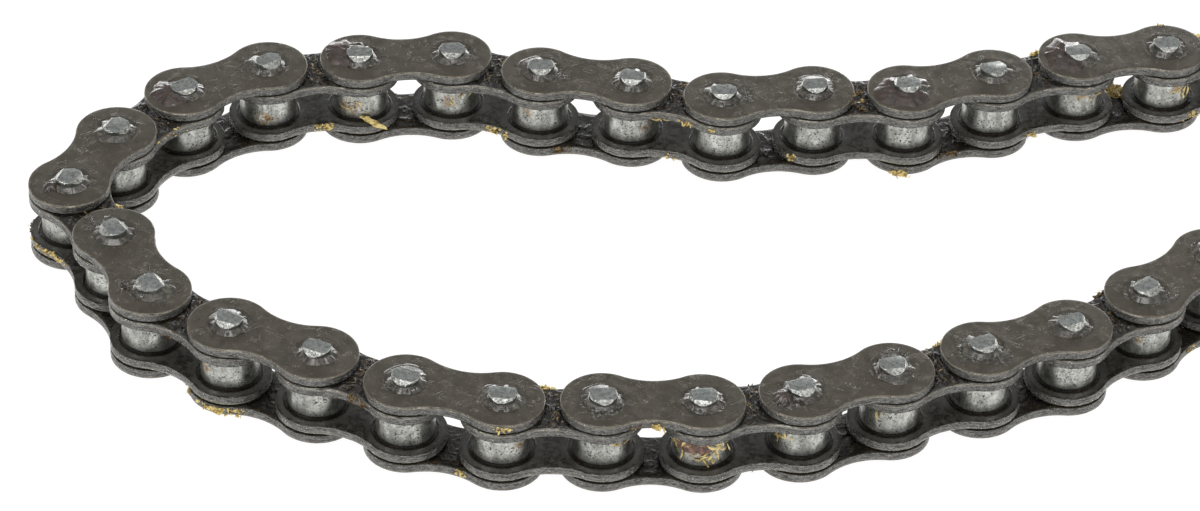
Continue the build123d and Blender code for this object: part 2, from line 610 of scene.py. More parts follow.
# The plate's section at its rim, from the back face round the edge to the near face: how far in
# from the outline, and the height above the near face.
RIM_SECTION = [
    (0.60, 1.350), (0.30, 1.344), (0.17, 1.325), (0.09, 1.290), (0.035, 1.235), (0.01, 1.165),
    (0.00, 1.080), (0.00, 0.930), (0.005, 0.780), (0.02, 0.600), (0.02, 0.400), (0.015, 0.220),
    (0.01, 0.110), (0.05, 0.040), (0.14, 0.008), (0.60, 0.000),
]
WALL = (5, 12)          # the section's points that are the sheared edge
TORN_BELOW = 0.70       # the sheared edge is rough below this height
FLAT_MARGIN = 0.95      # how far inside the outline the loose points of the flat faces stay
FLAT_SPACING = 0.95


def plate_outline(count):
    """Points round the figure eight, evenly spaced, with their outward normals."""
    arcs = [
        ((0, 0), LOBE_RADIUS, TANGENT_ANGLE, 2 * math.pi - TANGENT_ANGLE, 1),
        ((PITCH / 2, -WAIST_CENTRE), WAIST_RADIUS, math.pi - TANGENT_ANGLE, TANGENT_ANGLE, -1),
        ((PITCH, 0), LOBE_RADIUS, TANGENT_ANGLE - math.pi, math.pi - TANGENT_ANGLE, 1),
        ((PITCH / 2, WAIST_CENTRE), WAIST_RADIUS, -TANGENT_ANGLE, TANGENT_ANGLE - math.pi, -1),
    ]
    lengths = [radius * abs(last - first) for _, radius, first, last, _ in arcs]
    points, normals = [], []
    for step in range(count):
        travel = sum(lengths) * step / count
        part = 0
        while travel > lengths[part]:
            travel -= lengths[part]
            part += 1
        (cx, cy), radius, first, last, outward = arcs[part]
        angle = first + (last - first) * travel / lengths[part]
        ray = np.array([math.cos(angle), math.sin(angle)])
        points.append(np.array([cx, cy]) + radius * ray)
        normals.append(outward * ray)
    return np.array(points), np.array(normals)


def inside_plate(x, y, margin):
    """Is a point inside the outline, and at least margin from it?"""
    if min(math.hypot(x, y), math.hypot(x - PITCH, y)) < LOBE_RADIUS - margin:
        return True
    clear_of_waist = math.hypot(x - PITCH / 2, WAIST_CENTRE - abs(y)) > WAIST_RADIUS + margin
    return 0 < x < PITCH and abs(y) < LOBE_RADIUS and clear_of_waist


def plate_template(hole_radius):
    """One plate in its link's axes, its near face at z = 0: points, faces and layers."""
    outline, normals = plate_outline(OUTLINE_POINTS)
    points, layers = [], []
    for step, (inset, height) in enumerate(RIM_SECTION):
        rim = math.exp(-(((inset - 0.03) / 0.06) ** 2)) if height > 1.0 else 0.0
        side = 1.0 if WALL[0] <= step <= WALL[1] else 0.0
        torn = 1.0 if side and height < TORN_BELOW else 0.0
        for x, y in outline - normals * inset:
            points.append((x, y, height))
            layers.append((rim, side, torn))
    firsts = [step * OUTLINE_POINTS for step in range(len(RIM_SECTION))]
    rings = [list(range(first, first + OUTLINE_POINTS)) for first in firsts]
    faces = []
    for upper, lower in zip(rings, rings[1:]):
        faces += band(lower, upper)

    turn, _ = circle(HOLE_POINTS)
    flat = [tuple(p) for p in outline - normals * RIM_SECTION[0][0]]
    edges = [(k, (k + 1) % OUTLINE_POINTS) for k in range(OUTLINE_POINTS)]
    for centre in (0.0, PITCH):
        first = len(flat)
        flat += [(centre + hole_radius * math.cos(a), hole_radius * math.sin(a)) for a in turn]
        edges += [(first + k, first + (k + 1) % HOLE_POINTS) for k in range(HOLE_POINTS)]
    loops = len(flat)
    for centre in (0.0, PITCH):
        for ring, radius in enumerate(np.arange(hole_radius + 0.22, hole_radius + 1.5, 0.24)):
            for angle in turn + (ring % 2) * math.pi / HOLE_POINTS:
                x, y = centre + radius * math.cos(angle), radius * math.sin(angle)
                if inside_plate(x, y, FLAT_MARGIN):
                    flat.append((x, y))
    for row in range(-6, 7):
        for column in range(-6, 21):
            x = (column + 0.5 * (row % 2)) * FLAT_SPACING
            y = row * FLAT_SPACING * 0.87
            from_holes = min(math.hypot(x, y), math.hypot(x - PITCH, y))
            if from_holes > hole_radius + 1.8 and inside_plate(x, y, FLAT_MARGIN):
                flat.append((x, y))
    flat_points = [Vector(p) for p in flat]
    spots, _, triangles, origins, _, _ = delaunay_2d_cdt(flat_points, edges, [], 0, 1e-6)
    kept = []
    for triangle in triangles:
        x = sum(spots[v][0] for v in triangle) / 3
        y = sum(spots[v][1] for v in triangle) / 3
        outside_holes = min(math.hypot(x, y), math.hypot(x - PITCH, y)) > hole_radius * 0.998
        if outside_holes and inside_plate(x, y, RIM_SECTION[0][0] - 0.0005):
            kept.append([origins[v][0] for v in triangle])

    first_flat = len(points)
    for level in (PLATE_THICKNESS, 0.0):
        for x, y in flat[OUTLINE_POINTS:]:
            points.append((x, y, level))
            layers.append((0.0, 0.0, 0.0))
    per_level = len(flat) - OUTLINE_POINTS

    def vertex(k, level):
        if k < OUTLINE_POINTS:
            return rings[-level][k]
        return first_flat + level * per_level + k - OUTLINE_POINTS

    for level in (0, 1):
        faces += [tuple(vertex(k, level) for k in triangle) for triangle in kept]
    for start in range(OUTLINE_POINTS, loops, HOLE_POINTS):
        faces += band(*[[vertex(start + k, level) for k in range(HOLE_POINTS)] for level in (0, 1)])
    return np.array(points), faces, np.array(layers)


def pressed(from_pin):
    """How high a plate's outer face is near a staked pin: a round hollow with a low lip."""
    hollow = 0.18 * np.exp(-(((from_pin - 2.45) / 0.30) ** 2))
    return 0.045 * np.exp(-(((from_pin - 3.05) / 0.22) ** 2)) - hollow


def make_plate(index, lower, template, seed):
    """One plate of a link: sheared unevenly at its edge, and pressed a little round staked pins."""
    staked = index % 2 == 1
    base, faces, layers = template
    points = base.copy()
    side, torn = layers[:, 1], layers[:, 2]
    centre = np.where(points[:, 0] < PITCH / 2, 0.0, PITCH)
    outward = np.stack([points[:, 0] - centre, points[:, 1]], axis=1)
    from_hole = np.linalg.norm(outward, axis=1)
    outward /= from_hole[:, None]
    shear = 0.018 * field(points * [1.0, 1.0, 0.3], 1.1, seed)
    shear += 0.012 * field(points, 0.5, seed + 1)
    points[:, :2] += outward * ((shear - 0.016) * side + (shear - 0.03) * torn)[:, None]
    back = (points[:, 2] > PLATE_THICKNESS - 0.02) & (side == 0)
    points[:, 2] += np.where(back, field(points, 3.5, seed + 2) * 0.006, 0.0)
    if staked:
        points[:, 2] += np.where(back, pressed(from_hole), 0.0)
        grime = np.clip(1.6 - np.abs(from_hole - 2.0), 0, 1)
        grime *= 0.7 + 0.4 * field(points, 2.2, seed + 4)
        grime = np.where(points[:, 2] < PLATE_THICKNESS / 2, 0.7, grime)
    else:
        grime = 0.25 + 0.75 * (from_hole > LOBE_RADIUS - 0.3)
    points[:, 2] += OUTER_FACE if staked else INNER_FACE
    if lower:
        points = turned_over(points)
    slot, steel = ("outer_links", OUTER_STEEL) if staked else ("inner_links", INNER_STEEL)
    link_piece(
        "lower_plate" if lower else "upper_plate", [(points, faces)], index, slot, steel,
        stands_for=link_name(index),
        rim=layers[:, 0], side=side, torn=torn, grime=np.clip(grime, 0, 1),
    )


# ---------------------------------------------------------------- pins, bushes and rollers

PIN_SIDES = 56
SHORTEST_EDGE = 0.05     # edges shorter than this are closed up before a pin's edges are rounded
PIN_ROUNDING = 0.08
ROUNDED_ABOVE = 0.22     # edges that turn by more than this, in radians, are rounded
FOOT_BAND = 0.35         # a ring of points this high above the plate ends the dirty foot of a pin
# A staked end's two long flats, its two ends and two of its corners: the direction, how far it may
# stray, and the least and most of the distance and of the fall
STAKE_PLANES = [
    (90, 9, (0.92, 1.18), (34, 43)), (-90, 9, (0.92, 1.18), (34, 43)),
    (0, 18, (1.58, 1.74), (38, 52)), (180, 18, (1.58, 1.74), (38, 52)),
    (-38, 12, (1.45, 1.62), (36, 46)), (-142, 12, (1.45, 1.62), (36, 46)),
]


def cut(solid, point, normal, remove=True):
    """Cuts a solid with a plane. What the normal points at is taken off, and the cut is closed."""
    everything = solid.verts[:] + solid.edges[:] + solid.faces[:]
    bmesh.ops.bisect_plane(
        solid, geom=everything, dist=1e-5, plane_co=point, plane_no=normal, clear_outer=remove
    )
    if remove:
        bmesh.ops.holes_fill(solid, edges=[e for e in solid.edges if e.is_boundary], sides=0)


def stake_cuts(rng):
    """The planes that shape a staked end, each as a direction, a distance and a fall.

    Directions and falls are degrees. The distance is from the pin's axis, at the pin's full height.
    """
    cuts = [
        (direction + rng.uniform(-stray, stray), rng.uniform(*distances), rng.uniform(*falls))
        for direction, stray, distances, falls in STAKE_PLANES
    ]
    cuts.append((rng.uniform(0, 360), -PIN_RADIUS, rng.uniform(0.5, 3.0)))
    return cuts


def make_pin(index, along, seed):
    """A pin: plain between the plates, staked at both ends."""
    rng = np.random.default_rng(seed)
    pin = bmesh.new()
    bmesh.ops.create_cone(
        pin, cap_ends=True, segments=PIN_SIDES, radius1=PIN_RADIUS, radius2=PIN_RADIUS,
        depth=2 * PIN_HALF,
    )
    for sign in (1, -1):
        for direction, distance, fall in stake_cuts(rng):
            angle, tilt = math.radians(direction), math.radians(fall)
            ray = Vector((math.cos(angle), math.sin(angle), 0))
            cut(pin, ray * distance + Vector((0, 0, sign * PIN_HALF)),
                ray * math.sin(tilt) + Vector((0, 0, sign * math.cos(tilt))))
        for height in (OUTER_BACK, OUTER_BACK + FOOT_BAND):
            cut(pin, Vector((0, 0, sign * height)), Vector((0, 0, 1)), remove=False)
    bmesh.ops.remove_doubles(pin, verts=pin.verts, dist=SHORTEST_EDGE)
    sharp = [e for e in pin.edges if len(e.link_faces) == 2 and e.calc_face_angle() > ROUNDED_ABOVE]
    bmesh.ops.bevel(
        pin, geom=sharp, offset=PIN_ROUNDING, offset_type="OFFSET", segments=2, profile=0.6,
        affect="EDGES", clamp_overlap=True,
    )
    bmesh.ops.remove_doubles(pin, verts=pin.verts, dist=0.004)
    pin.normal_update()
    pin.verts.index_update()
    points = np.array([v.co[:] for v in pin.verts]) + [along, 0, 0]
    faces = [tuple(v.index for v in f.verts) for f in pin.faces]
    # facets marks the tilted faces of a staked end, which the material paints lighter, partly as a
    # painted highlight.
    facets = [1.0 if 0.25 < abs(f.normal.z) < 0.985 else 0.0 for f in pin.faces]
    pin.free()
    low = np.clip((OUTER_BACK + 0.3 - np.abs(points[:, 2])) / 0.3, 0, 1)
    link_piece(
        "pin_a" if along == 0 else "pin_b", [(points, faces)], index, "pins", PIN_STEEL,
        stands_for=link_name(index), sharp=20, marks=facets, low=low,
    )


def make_bush(index, along):
    """A bush: a plain tube with its mouths slightly rounded."""
    upper = [
        (BUSH_BORE, BUSH_HALF - 0.10), (BUSH_BORE + 0.10, BUSH_HALF),
        (BUSH_RADIUS - 0.03, BUSH_HALF), (BUSH_RADIUS, BUSH_HALF - 0.04),
    ]
    lower = [(radius, -height) for radius, height in reversed(upper)]
    profile = upper[2:] + lower + upper[:2]
    points, faces = tube(profile, 56, (along, 0, 0))
    link_piece(
        "bush_a" if along == 0 else "bush_b", [(points, faces)], index, "inner_links", PIN_STEEL,
        stands_for=link_name(index), low=np.full(len(points), 0.5),
    )


# Brown stains on rollers: the roller, counted from 0, the direction about its axis, in degrees, the
# height above its middle, and the stain's size
STAINS = [
    (1, -60, 1.0, 1.2), (2, -80, 1.3, 1.1), (5, 80, -0.4, 1.4), (7, -55, 0.0, 1.2),
    (8, -115, 0.9, 1.1), (9, -92, 0.2, 1.2), (10, -110, -0.4, 1.9), (11, -95, -1.0, 1.7),
    (12, 95, 0.8, 1.2), (15, 60, 0.5, 1.3), (17, -140, 0.0, 1.0), (19, 110, 0.3, 1.2),
    (20, -52, 0.3, 1.0), (21, -62, 1.3, 0.8), (22, -95, 0.4, 2.2), (27, -100, 0.3, 0.7),
]
CORNER = 0.30           # the radius of a roller's outer corners
CORNER_STEPS = 6
BORE_EDGE = 0.08        # how much is broken off the edge of a roller's bore
STRAIGHT_FROM = 0.45    # how far from a roller's ends its straight rows of points begin


def make_roller(index, seed):
    """A roller: a short tube with rounded corners, very slightly out of true."""
    quarter = [math.radians(90 * k / (CORNER_STEPS - 1)) for k in range(CORNER_STEPS)]
    inset, rise = ROLLER_RADIUS - CORNER, ROLLER_HALF - CORNER
    upper = [(inset + CORNER * math.cos(a), rise + CORNER * math.sin(a)) for a in quarter]
    upper += [(ROLLER_BORE + BORE_EDGE, ROLLER_HALF), (ROLLER_BORE, ROLLER_HALF - BORE_EDGE)]
    lower = [(radius, -height) for radius, height in reversed(upper)]
    straight = ROLLER_HALF - STRAIGHT_FROM
    side = [(ROLLER_RADIUS, height) for height in np.linspace(-straight, straight, 9)]
    points, faces = tube(lower + side + upper, 84, AXES[index])
    around = points - AXES[index]
    outside = np.hypot(around[:, 0], around[:, 1]) > ROLLER_RADIUS - 0.02
    worn = field(points, 2.4, seed) * 0.010 - 0.012
    points[:, :2] += np.where(outside, worn, 0.0)[:, None] * around[:, :2] / ROLLER_RADIUS
    # foot is 1 near the roller's ends, where the material paints shade.
    foot = np.clip((np.abs(around[:, 2]) - ROLLER_HALF + 0.62) / 0.55, 0, 1)
    stain = np.zeros(len(points))
    for roller, direction, height, size in STAINS:
        if roller == index:
            angle = math.radians(direction)
            ray = np.array([math.cos(angle), math.sin(angle), 0.0])
            near = np.linalg.norm(around - ROLLER_RADIUS * ray - [0, 0, height], axis=1) / size
            stain = np.maximum(stain, np.clip(1.6 - 1.6 * near, 0, 1))
    name = roller_name(index)
    piece(
        name + "_shell", points, faces, name, "rollers", ROLLER_STEEL,
        stands_for=name, foot=foot, stain=stain,
    )


# ---------------------------------------------------------------- grease


def grease_piece(suffix, shapes, index, material, sharp=60):
    link_piece(suffix, shapes, index, "grease", material, sharp=sharp)


RING_REACH = 2.60       # how far from a pin's axis the grease round it spreads
RING_FILM = 0.08        # how thick that grease is at its thinnest, away from its rim
RING_CLIMB = 0.32       # how much higher it stands where it climbs the pin
RING_WRINKLES = 0.27    # how high its highest wrinkles are


def pin_ring(seed, along, fine, wrinkled):
    """Grease in the hollow round a pin: it climbs the pin and leans out one way."""
    rng = np.random.default_rng(seed)
    rows, columns = (17, 96) if fine else (9, 48)
    lean_angle = rng.uniform(0, 2 * np.pi)
    lean = rng.uniform(0.1, 1.0)
    angles, ring = circle(columns)
    reach = RING_REACH + 0.20 * field(ring * 3, 2.4, seed)
    reach += lean * np.clip(np.cos(angles - lean_angle), 0, 1) ** 1.5
    share = np.linspace(0, 1, rows)[:, None]
    inner = PIN_RADIUS - 0.02
    radius = inner + (reach - inner) * share
    top = grid(radius * np.cos(angles), radius * np.sin(angles), 0.0)
    ground = top.reshape(-1, 3)
    crests = ridges(ground, 0.75, seed + 1).reshape(rows, columns)
    lumps = field(ground, 1.6, seed + 2).reshape(rows, columns)
    rough = np.clip(0.45 + lumps, 0.1, 1.2)
    height = RING_FILM + RING_CLIMB * np.exp(-(radius - inner) / 0.35)
    height += RING_WRINKLES * wrinkled * crests * rough * np.clip(share * 4 - 0.9, 0, 1)
    top[:, :, 2] = pressed(radius) + height * np.clip((1 - share) * 4, 0, 1) - 0.012 * share
    points, faces = lying(top, True)
    return points + [along, 0, 0], faces


FOOT_CREST = 0.42       # how far from a roller the ridge of grease round its foot is
FOOT_RIDGE = 0.07       # how high that ridge is
FOOT_CLIMB = 0.10       # how far the grease climbs the roller's foot


def foot_ring(seed, along):
    """Grease pushed into a low ridge round a roller's foot."""
    rows, columns = 11, 72
    angles, ring = circle(columns)
    crest = ROLLER_RADIUS + FOOT_CREST + 0.05 * field(ring * 4, 3.0, seed)
    share = np.linspace(0, 1, rows)[:, None]
    radius = ROLLER_RADIUS + 0.05 + (crest - ROLLER_RADIUS + 0.22) * share
    ridge = FOOT_RIDGE * np.exp(-(((radius - crest) / 0.11) ** 2))
    ridge *= 1 + 0.3 * field(ring * 4, 1.5, seed + 1)
    climb = FOOT_CLIMB * np.exp(-(radius - ROLLER_RADIUS) / 0.10)
    height = (ridge + climb) * np.clip((1 - share) * 5, 0, 1) - 0.01 * share
    top = grid(radius * np.cos(angles), radius * np.sin(angles), height)
    points, faces = lying(top, True)
    return points + [along, 0, 0], faces


WEB_MARGIN = 0.12       # how far the grease on a waist stops short of the plate's edge
WEB_UNDER = 0.25        # how far it reaches under the round ends of the neighbouring plates


def web(seed, height):
    """Grease packed across a link's waist, between the round ends of the plates that lie on it."""
    rows, columns = 50, 34
    across = np.linspace(-1, 1, rows)[:, None]
    along = np.linspace(-1, 1, columns)
    y = across * (WAIST_HALF_WIDTH - WEB_MARGIN)
    half_width = PITCH / 2 - np.sqrt((LOBE_RADIUS - WEB_UNDER) ** 2 - y * y)
    x = PITCH / 2 + along * half_width
    edge = (1 - np.abs(along) ** 3) * (1 - np.abs(across) ** 8)
    top = grid(x, y, 0.0)
    ground = top.reshape(-1, 3)
    lumps = 0.25 + 0.65 * field(ground, 1.9, seed) + 0.65 * ridges(ground, 1.1, seed + 1)
    lumps = np.clip(lumps, 0.03, 1.7).reshape(rows, columns)
    top[:, :, 2] = edge * (0.03 + height * lumps) - 0.015 * (1 - edge)
    top[:, :, 0] += field(ground, 1.4, seed + 2).reshape(rows, columns) * 0.10 * edge
    return lying(top, False)


def raised(shape, level, lower=False):
    """Lifts a shape to a level of its link, or puts it under the link at that depth."""
    points, faces = shape
    points = points + [0, 0, level]
    return (turned_over(points) if lower else points), faces


# The grease round the pins is wrinkled from this link on, and smooth before it
WRINKLED_FROM = 21
WRINKLED, SMOOTH = 0.8, 0.03
LOW_WEB = 0.10      # how high the grease is on the waists of pin links, on their inner faces
HIGH_WEB = 0.30     # and on the waists of roller links, on their outer faces


def make_link_grease(index):
    """All the thin grease that rides on one link: rings at both ends of both sides, and webs."""
    staked = index % 2 == 1
    wrinkled = WRINKLED if index >= WRINKLED_FROM else SMOOTH
    rings = []
    for lower in (False, True):
        for along in (0.0, PITCH):
            seed = 20 * index + 2 * int(along) + lower
            if staked:
                ring = pin_ring(PIN_RING_SEED + seed, along, not lower, wrinkled)
                rings.append(raised(ring, OUTER_BACK, lower))
            else:
                rings.append(raised(foot_ring(FOOT_RING_SEED + seed, along), -INNER_FACE, lower))
    if staked:
        grease_piece("pin_grease", rings, index, PLATE_GREASE)
    else:
        grease_piece("foot_grease", rings, index, WEB_GREASE)
    height, level = (LOW_WEB, -OUTER_FACE) if staked else (HIGH_WEB, INNER_BACK)
    webs = [raised(web(WEB_SEED + 10 * index + k, height), level, k == 1) for k in (0, 1)]
    grease_piece("waist_grease", webs, index, WEB_GREASE)


# Pools of wet oil and patches of gritty grease on the upper outer plates: the link, counted from 0,
# the middle, the reach along and across the link, and which it is
POOLS = [
    (1, 14.1, -0.2, 3.4, 3.6, "oil"), (3, 13.6, 0.4, 3.8, 3.7, "oil"),
    (9, 14.5, -1.1, 3.1, 3.1, "oil"), (11, 14.4, -0.2, 2.9, 2.9, "oil"),
    (13, 14.9, -1.6, 1.2, 1.0, "oil"), (23, -2.5, -0.4, 1.5, 1.5, "oil"),
    (5, 11.0, 0.6, 3.2, 2.6, "grit"), (15, -2.6, -1.2, 2.4, 2.3, "grit"),
    (15, 11.4, -2.9, 1.6, 1.4, "grit"), (21, -0.4, -2.2, 2.3, 1.9, "grit"),
    (23, -2.4, -1.6, 2.4, 1.6, "grit"), (25, -2.4, -0.6, 2.4, 2.2, "grit"),
    (25, 1.2, -2.6, 2.0, 1.4, "grit"), (23, 13.6, 2.0, 2.2, 1.6, "grit"),
    (7, 11.2, 1.0, 2.6, 2.0, "grit"), (27, 0.5, -2.3, 2.4, 1.5, "grit"),
]


POOL_MARGIN = 0.18      # how far a pool stops short of the round end of its plate
OIL_SWELL = 0.58        # how high a pool of oil stands in its middle
GRIT_SWELL = 0.27       # how high the wrinkles of a gritty patch are


def make_pool(number, index, x, y, reach_x, reach_y, kind):
    """A pool of oil with a full round edge, or a thin gritty patch, on a plate's outer face."""
    rows, columns = (15, 72) if kind == "oil" else (22, 84)
    seed = POOL_SEED + 10 * number
    angles, ring = circle(columns)
    share = np.linspace(0.02, 1, rows)[:, None]
    reach = share * (1 + (0.13 if kind == "oil" else 0.30) * field(ring * 3, 2.6, seed))
    px = x + reach * reach_x * np.cos(angles)
    py = y + reach * reach_y * np.sin(angles)
    centre = 0.0 if x < PITCH / 2 else PITCH
    outside = np.maximum(np.hypot(px - centre, py) - LOBE_RADIUS + POOL_MARGIN, 0)
    px -= outside * (px - centre) / (LOBE_RADIUS - POOL_MARGIN)
    py -= outside * py / (LOBE_RADIUS - POOL_MARGIN)
    top = grid(px, py, 0.0)
    ground = top.reshape(-1, 3)
    swirl = field(ground, 2.4, seed + 1).reshape(rows, columns)
    wrinkle = ridges(ground, 1.0 if kind == "oil" else 0.7, seed + 2).reshape(rows, columns)
    if kind == "oil":
        swell = OIL_SWELL + 0.06 * swirl + 0.03 * wrinkle * np.clip(swirl, 0, 1)
    else:
        swell = 0.01 + GRIT_SWELL * wrinkle * np.clip(0.55 + swirl, 0.05, 1)
    under = pressed(np.hypot(px - centre, py)) * (1.0 if kind == "grit" else 0.3)
    top[:, :, 2] = under + swell * (1 - share ** (2.5 if kind == "oil" else 3)) - 0.012 * share
    shape = raised(lying(top[:, ::-1], True), OUTER_BACK)
    material = WET_OIL if kind == "oil" else PLATE_GREASE
    grease_piece(f"{kind}_{number}", [shape], index, material)


# Crumbs of dried grease: the link, counted from 0, the middle of the cluster, the heights it lies
# between, its spread along the plate's edge, how many crumbs, their size, and their colour
CRUMBS = [
    (20, 5.4, 4.0, 3.5, 4.0, 0.7, 26, 0.34, "gold"),
    (2, 4.2, -4.2, 3.6, 4.1, 0.5, 20, 0.34, "gold"),
    (1, -1.1, -5.3, 4.7, 5.4, 0.5, 10, 0.22, "gold"),
    (0, 7.6, -4.0, 3.5, 4.0, 0.9, 22, 0.30, "gold"),
    (4, 6.4, -0.8, 4.1, 4.2, 0.25, 18, 0.20, "brown"),
    (4, 6.3, 1.2, 4.1, 4.2, 0.25, 12, 0.18, "gold"),
    (4, 6.4, 2.8, 4.0, 4.1, 0.3, 14, 0.20, "brown"),
    (26, 8.6, 4.1, 3.6, 4.0, 0.6, 18, 0.28, "brown"),
    (24, 8.3, 3.9, 3.6, 4.0, 0.7, 20, 0.28, "gold"),
    (18, 7.9, -3.75, 2.6, 3.9, 0.8, 24, 0.30, "brown"),
    (19, 14.2, -5.3, 4.2, 5.2, 0.4, 12, 0.30, "gold"),
    (21, 6.9, -3.9, 4.0, 4.5, 0.3, 18, 0.36, "gold"),
    (21, 4.0, -3.95, 4.1, 4.8, 0.4, 8, 0.20, "brown"),
    (14, 2.6, -4.6, -3.3, -2.6, 1.7, 34, 0.28, "gold"),
    (14, -3.4, -4.3, -3.1, -2.6, 0.9, 18, 0.24, "brown"),
    (14, 6.1, 3.9, 3.6, 4.0, 0.5, 10, 0.26, "gold"),
    (17, -4.1, -3.4, -5.3, -4.3, 0.4, 10, 0.24, "gold"),
    (17, 1.0, -5.3, -5.5, -4.4, 1.8, 38, 0.32, "gold"),
    (19, 8.5, -4.1, -5.2, -4.2, 0.5, 12, 0.22, "gold"),
    (10, 5.6, 3.95, -3.6, -2.6, 0.7, 22, 0.32, "gold"),
    (9, 7.7, -3.6, -4.3, -3.9, 0.4, 10, 0.30, "gold"),
    (8, 4.6, 4.05, -3.9, -2.8, 0.9, 22, 0.30, "gold"),
    (7, 8.9, 4.1, -5.0, -4.0, 0.5, 14, 0.30, "brown"),
    (6, 7.6, 4.1, 2.5, 2.8, 0.6, 14, 0.18, "gold"),
    (6, 4.0, 4.2, 2.5, 3.1, 0.5, 16, 0.24, "gold"),
    (6, 0.4, 5.4, 3.2, 3.8, 0.2, 5, 0.20, "gold"),
    (4, 15.6, 4.4, -3.4, -2.4, 0.4, 14, 0.26, "gold"),
    (5, -5.1, 1.9, 4.4, 5.3, 1.0, 18, 0.20, "brown"),
    (1, 6.0, -3.0, -3.9, -3.8, 0.8, 26, 0.45, "gold"),
    (1, 6.0, -3.0, -3.3, -3.2, 0.5, 14, 0.40, "gold"),
    (1, 6.0, -3.0, -2.7, -2.6, 0.3, 8, 0.32, "gold"),
    (6, 6.1, 4.0, -3.9, -3.0, 0.5, 10, 0.22, "gold"),
    (3, 15.2, 5.2, -5.6, -4.8, 0.7, 28, 0.32, "gold"),
    (3, 7.7, 3.9, -4.6, -3.9, 0.8, 18, 0.28, "brown"),
    (2, 8.1, 4.1, -3.9, -3.0, 0.5, 12, 0.26, "gold"),
    (1, 6.4, -3.9, -4.2, -3.9, 0.6, 18, 0.34, "gold"),
    (0, 9.8, 4.6, -3.9, -2.7, 0.7, 16, 0.28, "gold"),
    (16, 6.5, -4.0, 2.5, 2.9, 1.2, 18, 0.16, "brown"),
    (25, -2.3, 0.3, 5.48, 5.5, 0.5, 9, 0.13, "gold"),
    (15, 11.6, -3.2, 5.46, 5.5, 0.4, 6, 0.11, "gold"),
    (12, 6.6, 4.0, 2.8, 3.9, 1.4, 16, 0.16, "gold"),
    (22, 6.5, 4.0, 2.8, 3.9, 1.5, 14, 0.18, "brown"),
    (25, 5.6, 4.0, -5.2, -4.1, 1.4, 12, 0.18, "brown"),
    (28, 5.4, 4.0, 2.8, 3.9, 1.0, 14, 0.22, "gold"),
    (27, 6.0, -4.0, -5.2, -4.1, 1.0, 12, 0.20, "gold"),
]
EDGE_POINTS, EDGE_NORMALS = plate_outline(720)
EDGE_STEP = float(np.linalg.norm(EDGE_POINTS[1] - EDGE_POINTS[0]))


def crumb_places(rng, x, y, low, high, spread, count):
    """Places for crumbs on a plate's edge, or on its face when the middle lies well inside it."""
    heights = rng.uniform(low, high, count)
    if inside_plate(x, y, 0.4):
        flat = rng.normal(size=(count, 2)) * spread + [x, y]
        heights = np.full(count, low)
    else:
        nearest = int(np.argmin(np.hypot(EDGE_POINTS[:, 0] - x, EDGE_POINTS[:, 1] - y)))
        steps = nearest + np.round(rng.normal(size=count) * spread / EDGE_STEP).astype(int)
        steps %= len(EDGE_POINTS)
        flat = EDGE_POINTS[steps] + EDGE_NORMALS[steps] * rng.uniform(-0.12, 0.08, (count, 1))
    return np.column_stack([flat, heights])


def make_crumbs(number, index, x, y, low, high, spread, count, size, tone):
    """A cluster of flakes, each pulled out of round its own way, with a few curled shavings."""
    rng = np.random.default_rng(CRUMBS_SEED + 10 * number)
    ball_points, ball_faces = ball(1)
    shapes = []
    for crumb, place in enumerate(crumb_places(rng, x, y, low, high, spread, count)):
        radii = size * rng.uniform(0.5, 1.25) * rng.uniform([0.8, 0.6, 0.3], [1.7, 1.1, 0.6])
        lumpy = ball_points * (1 + 0.40 * field(ball_points, 0.9, 100 * number + crumb)[:, None])
        angle, axis = rng.uniform(0, 6.28), Vector(rng.normal(size=3)).normalized()
        turn = np.array(Matrix.Rotation(angle, 3, axis))
        shapes.append(((lumpy * radii) @ turn + place, ball_faces))
    for place in crumb_places(rng, x, y, low, high, spread, count // 5):
        shapes.append(shaving(rng, place, size * rng.uniform(2.0, 4.0), size * 0.45))
    material = DRIED_GREASE if tone == "gold" else BROWN_GREASE
    grease_piece(f"crumbs_{number}", shapes, index, material, sharp=20)


FLECKS = 18             # fibres on each roller link
FLECKS_WITHIN = 0.8     # how far along the link they may lie from its middle


def make_flecks(index):
    """Brown fibres in the grease on the outward faces of a roller link, clear of the next links."""
    rng = np.random.default_rng(FLECKS_SEED + index)
    middle = PITCH / 2
    shapes = []
    for _ in range(FLECKS):
        side = rng.choice([1, -1])
        x, y = middle + rng.normal() * 0.3, rng.uniform(-3.3, 3.3)
        z = side * (INNER_BACK + rng.uniform(0.10, 0.40))
        points, faces = shaving(rng, [x, y, z], rng.uniform(0.5, 1.3), rng.uniform(0.10, 0.24))
        points[:, 0] = np.clip(points[:, 0], middle - FLECKS_WITHIN, middle + FLECKS_WITHIN)
        shapes.append((points, faces))
    grease_piece("flecks", shapes, index, BROWN_GREASE, sharp=50)


def shaving(rng, start, length, width):
    """A thin curled strip of dried grease."""
    steps = 9
    heading = rng.uniform(0, 2 * np.pi)
    lift = rng.uniform(-0.2, 0.6)
    curl = rng.uniform(-1.0, 1.0) * 2.2
    points = []
    place = np.array(start, float)
    for step in range(steps):
        share = step / (steps - 1)
        direction = heading + curl * share
        half = width * math.sin(math.pi * min(max(share, 0.12), 0.88)) / 2
        across = np.array([-math.sin(direction), math.cos(direction), 0.3])
        for side, up in ((1, 0.0), (0, 0.3 * half), (-1, 0.0), (0, -0.3 * half)):
            points.append(place + across * half * side + [0, 0, up])
        forward = np.array([math.cos(direction), math.sin(direction), lift * (1 - 1.6 * share)])
        place = place + forward * length / (steps - 1)
    rings = [list(range(4 * k, 4 * k + 4)) for k in range(steps)]
    faces = [tuple(rings[0]), tuple(rings[-1])]
    for near, far in zip(rings, rings[1:]):
        faces += band(near, far)
    return np.array(points), faces


